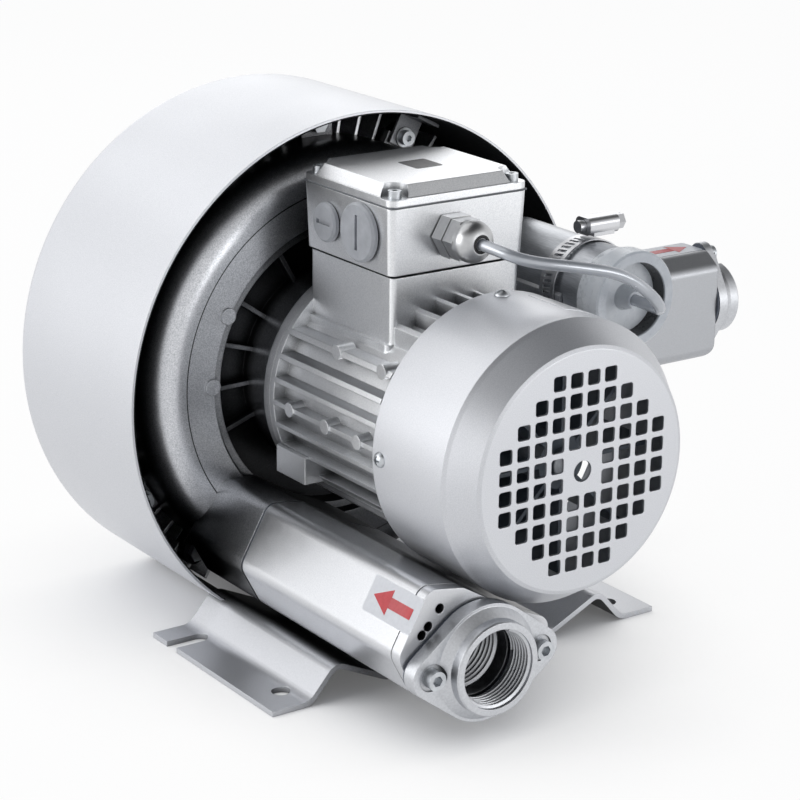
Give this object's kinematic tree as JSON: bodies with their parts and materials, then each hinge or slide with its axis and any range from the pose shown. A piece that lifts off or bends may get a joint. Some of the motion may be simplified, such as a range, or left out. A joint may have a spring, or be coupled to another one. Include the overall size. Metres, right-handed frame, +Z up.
{
  "type": "side channel blower",
  "caption": "Two-stage side channel blower: finned motor with grille cowl, drum hood over the stages, capacitor in a clamp, silencers with threaded ports, bent sheet base.",
  "frame": {"origin": "midway between the two front foot holes, on the plane the feet stand on", "axes": "+Z up, +Y along the shaft from the fan cowl toward the stages, +X toward the capacitor and the outlet port"},
  "size_m": [0.3461, 0.3205, 0.281],
  "materials": {
    "hood_paint": "smooth silver-grey paint, satin",
    "cast_paint": "fine hammered silver-grey paint over cast aluminium",
    "box_paint": "silver-grey paint over cast aluminium",
    "machined_aluminium": "machined, matte",
    "zinc_steel": "zinc plated",
    "stainless_steel": "polished strip",
    "bearing_steel": "ground and polished",
    "core_steel": "stacked sheet, matte",
    "winding_copper": "enamelled winding",
    "nickel_plate": "nickel plated brass, satin",
    "grey_plastic": "moulded, satin",
    "dark_plastic": "moulded, matte",
    "board_plastic": "moulded, matte",
    "white_plastic": "moulded nylon, satin",
    "cable_grey": "smooth cable sheath",
    "gasket_fibre": "pressed fibre, matte",
    "gasket_rubber": "matte",
    "foam": "open cell foam",
    "brass_stud": "bright",
    "can_aluminium": "drawn, satin"
  },
  "bodies": {
    "base": {"base_bracket": "box_paint", "base_screws": "zinc_steel", "capacitor_can": "can_aluminium", "capacitor_cap": "white_plastic", "capacitor_lead": "cable_grey", "capacitor_saddle": "machined_aluminium", "clamp_band": "stainless_steel", "clamp_housing": "stainless_steel", "clamp_screw": "stainless_steel", "cowl_screws": "zinc_steel", "drive_end_bearing_outer": "bearing_steel", "drive_end_shield": "box_paint", "fan_cowl": "hood_paint", "fan_end_bearing_outer": "bearing_steel", "fan_end_shield": "box_paint", "gland_body": "nickel_plate", "gland_dome": "nickel_plate", "hood_screws": "zinc_steel", "hood_shell": "hood_paint", "hood_tabs": "zinc_steel", "housing_bolts": "zinc_steel", "housing_cover": "cast_paint", "inlet_flange_bolts": "zinc_steel", "inlet_flange_gasket": "gasket_fibre", "inlet_port_flange": "machined_aluminium", "inlet_seam_gasket": "gasket_fibre", "inlet_silencer_foam": "foam", "inlet_silencer_tube": "box_paint", "large_blanking_plug": "grey_plastic", "lid_gasket": "gasket_rubber", "lid_screws": "zinc_steel", "motor_frame": "box_paint", "motor_side_housing": "cast_paint", "outlet_duct": "cast_paint", "outlet_flange_bolts": "zinc_steel", "outlet_flange_gasket": "gasket_fibre", "outlet_port_flange": "machined_aluminium", "outlet_silencer": "box_paint", "small_blanking_plug": "grey_plastic", "stage_divider": "cast_paint", "stator_core": "core_steel", "stator_windings": "winding_copper", "terminal_board": "board_plastic", "terminal_box_base": "box_paint", "terminal_box_lid": "box_paint", "terminal_studs": "brass_stud"},
    "rotor": {"rotor_shaft": "bearing_steel", "rotor_core": "core_steel", "impeller_stage_1": "machined_aluminium", "impeller_stage_2": "machined_aluminium", "impeller_spacer": "bearing_steel", "impeller_nut": "zinc_steel", "shaft_keys": "bearing_steel", "cooling_fan": "dark_plastic", "drive_end_bearing_inner": "bearing_steel", "fan_end_bearing_inner": "bearing_steel"},
    "drive_end_balls": {"drive_end_ball_set": "bearing_steel"},
    "fan_end_balls": {"fan_end_ball_set": "bearing_steel"}
  },
  "joints": [
    {"name": "rotor_spin", "type": "hinge", "parent": "base", "child": "rotor", "pos_m": [0, 0, 0.134], "axis": [0, 1, 0], "continuous": true},
    {"name": "drive_end_ball_roll", "type": "hinge", "parent": "base", "child": "drive_end_balls", "pos_m": [0, 0, 0.134], "axis": [0, 1, 0], "continuous": true},
    {"name": "fan_end_ball_roll", "type": "hinge", "parent": "base", "child": "fan_end_balls", "pos_m": [0, 0, 0.134], "axis": [0, 1, 0], "continuous": true}
  ],
  "couplings": [
    {"joint": "drive_end_ball_roll", "follows": "rotor_spin", "ratio": 0.3831},
    {"joint": "fan_end_ball_roll", "follows": "rotor_spin", "ratio": 0.384}
  ]
}
